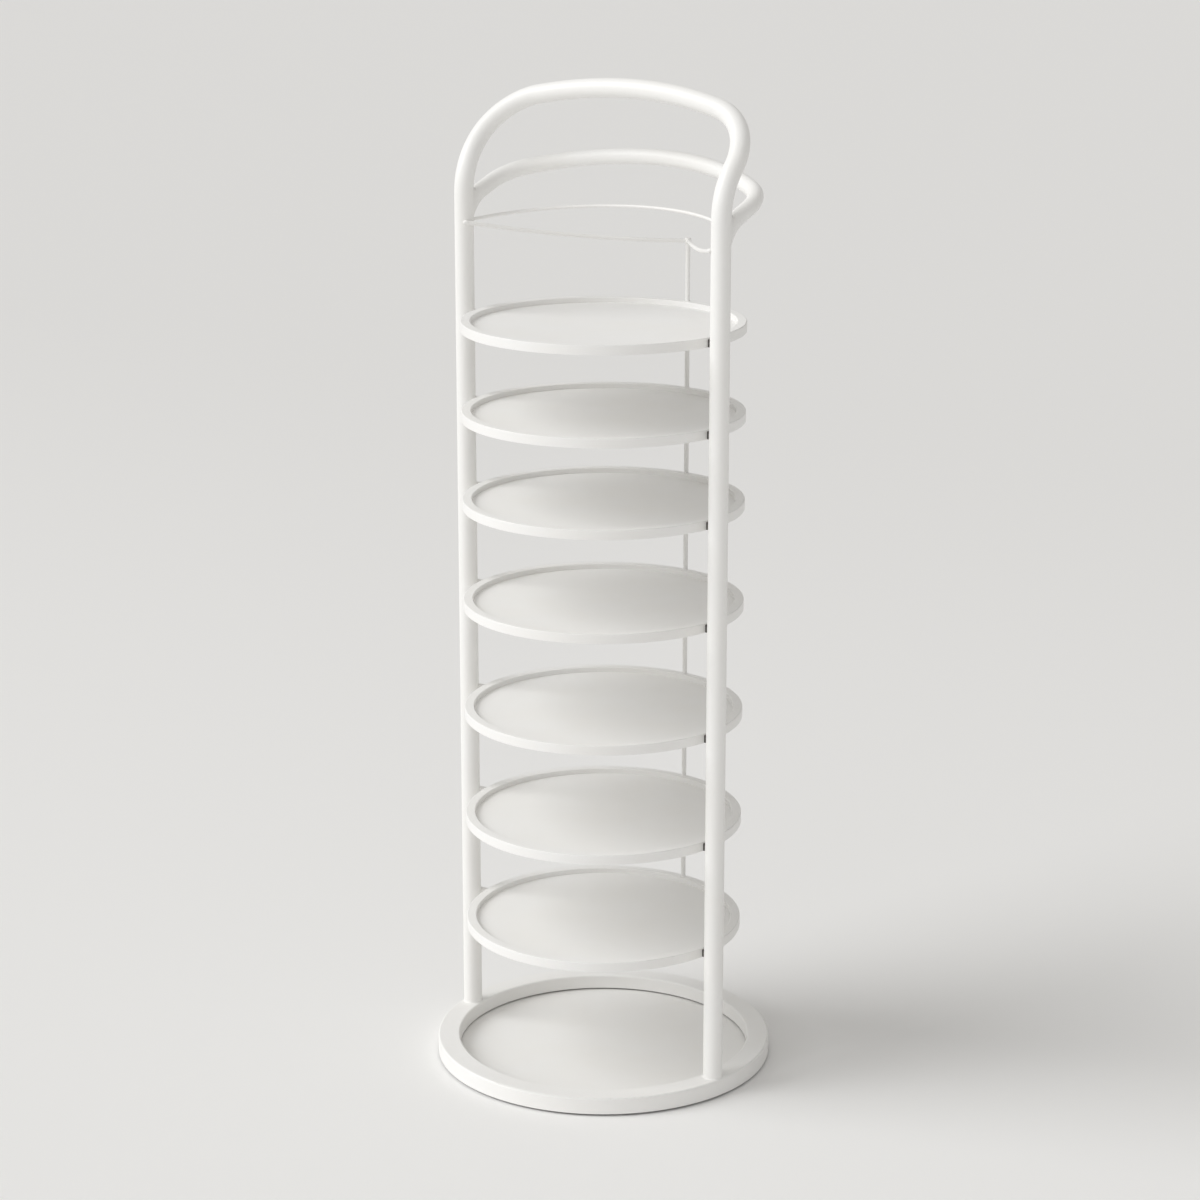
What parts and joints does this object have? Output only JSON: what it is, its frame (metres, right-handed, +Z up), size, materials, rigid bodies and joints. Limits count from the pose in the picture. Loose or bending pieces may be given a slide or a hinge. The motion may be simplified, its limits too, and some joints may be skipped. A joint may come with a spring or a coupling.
{
  "type": "rotating shoe tower",
  "caption": "Round free-standing shoe tower: recessed trays between two tube posts and a back rod under a leaning handle arch, turning on a ball race in its base ring.",
  "frame": {"origin": "on the floor at the turning axis of the tower", "axes": "+Z up along the turning axis; +Y towards the back rod; the posts stand near +X and -X, a little to the -Y side"},
  "size_m": [0.4279, 0.428, 1.2432],
  "materials": {
    "frame_white": "satin powder coat, warm white",
    "tray_white": "satin powder coat, warm white",
    "wire_white": "satin powder coat, warm white",
    "foot_white": "satin powder coat, warm white",
    "race_steel": "rolled and polished steel track",
    "ball_steel": "polished bearing balls",
    "fastener_steel": "zinc-plated fasteners, plugs and sleeves",
    "cage_nylon": "natural nylon",
    "carrier_plastic": "black moulded plastic",
    "pad_rubber": "soft black rubber"
  },
  "bodies": {
    "foot": {"foot_plate": "foot_white", "foot_pads": "pad_rubber", "lower_race": "race_steel", "lower_race_rivets": "fastener_steel"},
    "cage": {"ball_cage": "cage_nylon", "bearing_balls": "ball_steel"},
    "tower": {"upper_race": "race_steel", "upper_race_screws": "fastener_steel", "race_carrier": "carrier_plastic", "lift_retainer": "carrier_plastic", "base_ring": "frame_white", "post_plugs": "fastener_steel", "post_bolts": "fastener_steel", "joining_sleeves": "fastener_steel", "handle_arch": "frame_white", "lower_hoop": "frame_white", "wire_hoop": "wire_white", "back_rod": "wire_white", "rod_cap": "wire_white", "tray_screws": "fastener_steel", "left_post": "frame_white", "right_post": "frame_white", "left_tray_lugs": "frame_white", "right_tray_lugs": "frame_white", "left_tray_pads": "pad_rubber", "right_tray_pads": "pad_rubber", "left_yoke_wire": "wire_white", "right_yoke_wire": "wire_white", "tray_rim_1": "tray_white", "tray_floor_1": "tray_white", "tray_rim_2": "tray_white", "tray_floor_2": "tray_white", "tray_rim_3": "tray_white", "tray_floor_3": "tray_white", "tray_rim_4": "tray_white", "tray_floor_4": "tray_white", "tray_rim_5": "tray_white", "tray_floor_5": "tray_white", "tray_rim_6": "tray_white", "tray_floor_6": "tray_white", "tray_rim_7": "tray_white", "tray_floor_7": "tray_white"}
  },
  "joints": [
    {"name": "tower_spin", "type": "hinge", "parent": "foot", "child": "tower", "pos_m": [0, 0, 0], "axis": [0, 0, 1], "continuous": true},
    {"name": "cage_spin", "type": "hinge", "parent": "foot", "child": "cage", "pos_m": [0, 0, 0], "axis": [0, 0, 1], "continuous": true}
  ],
  "couplings": [
    {"joint": "cage_spin", "follows": "tower_spin", "ratio": 0.5}
  ]
}
